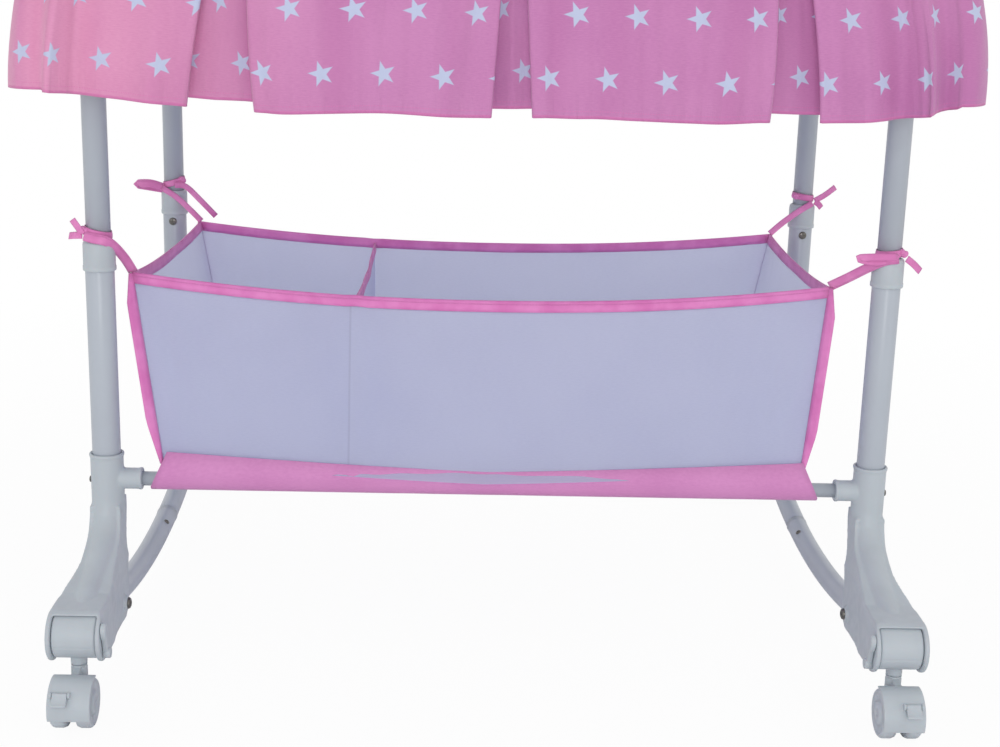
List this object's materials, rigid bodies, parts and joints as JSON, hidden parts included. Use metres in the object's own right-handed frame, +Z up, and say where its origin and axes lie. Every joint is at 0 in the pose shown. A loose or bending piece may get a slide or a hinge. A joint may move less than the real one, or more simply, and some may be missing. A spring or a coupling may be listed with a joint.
{
  "type": "baby cradle",
  "caption": "Rocking baby cradle on a tube stand with fold-away casters, a pleated star-print skirt and a cloth storage basket under the bed.",
  "frame": {"origin": "floor level under the middle of the bed, at the bottom centre of the bounding box", "axes": "+X along the bed, +Y from the front to the rear, +Z up"},
  "size_m": [0.976, 0.8434, 0.8485],
  "materials": {
    "tube_paint": "gloss white powder coat",
    "white_plastic": "satin white moulding",
    "wheel_plastic": "satin white wheel",
    "pink_skirt_cloth": "plain weave with pale stars",
    "white_liner_cloth": "quilted white cotton",
    "mattress_cloth": "white cotton",
    "white_basket_cloth": "smooth coated white cloth",
    "pink_basket_cloth": "pink cloth band",
    "pink_ribbon": "pink bias binding",
    "board_wood": "plain hardboard"
  },
  "bodies": {
    "stand": {"end_frame_left": "tube_paint", "end_frame_right": "tube_paint", "side_rail_front": "tube_paint", "side_rail_rear": "tube_paint", "basket_bar_front": "tube_paint", "basket_bar_rear": "tube_paint", "basket_sleeve_front": "pink_basket_cloth", "basket_sleeve_rear": "pink_basket_cloth", "rocker_front_left": "tube_paint", "rocker_front_right": "tube_paint", "rocker_rear_left": "tube_paint", "rocker_rear_right": "tube_paint", "bed_liner": "white_liner_cloth", "bed_board": "board_wood", "mattress": "mattress_cloth", "skirt": "pink_skirt_cloth", "basket": "white_basket_cloth", "basket_divider": "white_basket_cloth", "leg_tube_front_left": "tube_paint", "leg_collar_front_left": "white_plastic", "corner_connector_front_left": "white_plastic", "basket_tie_front_left": "pink_ribbon", "foot_front_left": "white_plastic", "leg_tube_front_right": "tube_paint", "leg_collar_front_right": "white_plastic", "corner_connector_front_right": "white_plastic", "basket_tie_front_right": "pink_ribbon", "foot_front_right": "white_plastic", "leg_tube_rear_left": "tube_paint", "leg_collar_rear_left": "white_plastic", "corner_connector_rear_left": "white_plastic", "basket_tie_rear_left": "pink_ribbon", "foot_rear_left": "white_plastic", "leg_tube_rear_right": "tube_paint", "leg_collar_rear_right": "white_plastic", "corner_connector_rear_right": "white_plastic", "basket_tie_rear_right": "pink_ribbon", "foot_rear_right": "white_plastic"},
    "carrier_front_left": {"caster_carrier_front_left": "white_plastic"},
    "caster_front_left": {"caster_hood_front_left": "white_plastic"},
    "wheels_front_left": {"caster_wheels_front_left": "wheel_plastic"},
    "pedal_front_left": {"brake_pedal_front_left": "white_plastic"},
    "lock_front_left": {"fold_lock_front_left": "white_plastic"},
    "carrier_front_right": {"caster_carrier_front_right": "white_plastic"},
    "caster_front_right": {"caster_hood_front_right": "white_plastic"},
    "wheels_front_right": {"caster_wheels_front_right": "wheel_plastic"},
    "pedal_front_right": {"brake_pedal_front_right": "white_plastic"},
    "lock_front_right": {"fold_lock_front_right": "white_plastic"},
    "carrier_rear_left": {"caster_carrier_rear_left": "white_plastic"},
    "caster_rear_left": {"caster_hood_rear_left": "white_plastic"},
    "wheels_rear_left": {"caster_wheels_rear_left": "wheel_plastic"},
    "pedal_rear_left": {"brake_pedal_rear_left": "white_plastic"},
    "lock_rear_left": {"fold_lock_rear_left": "white_plastic"},
    "carrier_rear_right": {"caster_carrier_rear_right": "white_plastic"},
    "caster_rear_right": {"caster_hood_rear_right": "white_plastic"},
    "wheels_rear_right": {"caster_wheels_rear_right": "wheel_plastic"},
    "pedal_rear_right": {"brake_pedal_rear_right": "white_plastic"},
    "lock_rear_right": {"fold_lock_rear_right": "white_plastic"}
  },
  "joints": [
    {"name": "caster_fold_front_left", "type": "hinge", "parent": "stand", "child": "carrier_front_left", "pos_m": [-0.415, -0.363, 0.088], "axis": [-1, 0, 0], "range_deg": [0, 90]},
    {"name": "caster_swivel_front_left", "type": "hinge", "parent": "carrier_front_left", "child": "caster_front_left", "pos_m": [-0.415, -0.363, 0.056], "axis": [0, 0, 1], "continuous": true},
    {"name": "wheel_roll_front_left", "type": "hinge", "parent": "caster_front_left", "child": "wheels_front_left", "pos_m": [-0.415, -0.387, 0.025], "axis": [1, 0, 0], "continuous": true},
    {"name": "brake_front_left", "type": "hinge", "parent": "caster_front_left", "child": "pedal_front_left", "pos_m": [-0.423, -0.4116, 0.044], "axis": [1, 0, 0], "range_deg": [0, 20]},
    {"name": "fold_lock_front_left", "type": "hinge", "parent": "stand", "child": "lock_front_left", "pos_m": [-0.385, -0.373, 0.073], "axis": [1, 0, 0], "range_deg": [0, 25], "stiffness_Nm_per_rad": 0.05},
    {"name": "caster_fold_front_right", "type": "hinge", "parent": "stand", "child": "carrier_front_right", "pos_m": [0.415, -0.363, 0.088], "axis": [-1, 0, 0], "range_deg": [0, 90]},
    {"name": "caster_swivel_front_right", "type": "hinge", "parent": "carrier_front_right", "child": "caster_front_right", "pos_m": [0.415, -0.363, 0.056], "axis": [0, 0, 1], "continuous": true},
    {"name": "wheel_roll_front_right", "type": "hinge", "parent": "caster_front_right", "child": "wheels_front_right", "pos_m": [0.415, -0.387, 0.025], "axis": [1, 0, 0], "continuous": true},
    {"name": "brake_front_right", "type": "hinge", "parent": "caster_front_right", "child": "pedal_front_right", "pos_m": [0.423, -0.4116, 0.044], "axis": [1, 0, 0], "range_deg": [0, 20]},
    {"name": "fold_lock_front_right", "type": "hinge", "parent": "stand", "child": "lock_front_right", "pos_m": [0.385, -0.373, 0.073], "axis": [1, 0, 0], "range_deg": [0, 25], "stiffness_Nm_per_rad": 0.05},
    {"name": "caster_fold_rear_left", "type": "hinge", "parent": "stand", "child": "carrier_rear_left", "pos_m": [-0.415, 0.363, 0.088], "axis": [1, 0, 0], "range_deg": [0, 90]},
    {"name": "caster_swivel_rear_left", "type": "hinge", "parent": "carrier_rear_left", "child": "caster_rear_left", "pos_m": [-0.415, 0.363, 0.056], "axis": [0, 0, 1], "continuous": true},
    {"name": "wheel_roll_rear_left", "type": "hinge", "parent": "caster_rear_left", "child": "wheels_rear_left", "pos_m": [-0.415, 0.387, 0.025], "axis": [1, 0, 0], "continuous": true},
    {"name": "brake_rear_left", "type": "hinge", "parent": "caster_rear_left", "child": "pedal_rear_left", "pos_m": [-0.423, 0.4116, 0.044], "axis": [-1, 0, 0], "range_deg": [0, 20]},
    {"name": "fold_lock_rear_left", "type": "hinge", "parent": "stand", "child": "lock_rear_left", "pos_m": [-0.385, 0.373, 0.073], "axis": [-1, 0, 0], "range_deg": [0, 25], "stiffness_Nm_per_rad": 0.05},
    {"name": "caster_fold_rear_right", "type": "hinge", "parent": "stand", "child": "carrier_rear_right", "pos_m": [0.415, 0.363, 0.088], "axis": [1, 0, 0], "range_deg": [0, 90]},
    {"name": "caster_swivel_rear_right", "type": "hinge", "parent": "carrier_rear_right", "child": "caster_rear_right", "pos_m": [0.415, 0.363, 0.056], "axis": [0, 0, 1], "continuous": true},
    {"name": "wheel_roll_rear_right", "type": "hinge", "parent": "caster_rear_right", "child": "wheels_rear_right", "pos_m": [0.415, 0.387, 0.025], "axis": [1, 0, 0], "continuous": true},
    {"name": "brake_rear_right", "type": "hinge", "parent": "caster_rear_right", "child": "pedal_rear_right", "pos_m": [0.423, 0.4116, 0.044], "axis": [-1, 0, 0], "range_deg": [0, 20]},
    {"name": "fold_lock_rear_right", "type": "hinge", "parent": "stand", "child": "lock_rear_right", "pos_m": [0.385, 0.373, 0.073], "axis": [-1, 0, 0], "range_deg": [0, 25], "stiffness_Nm_per_rad": 0.05}
  ]
}
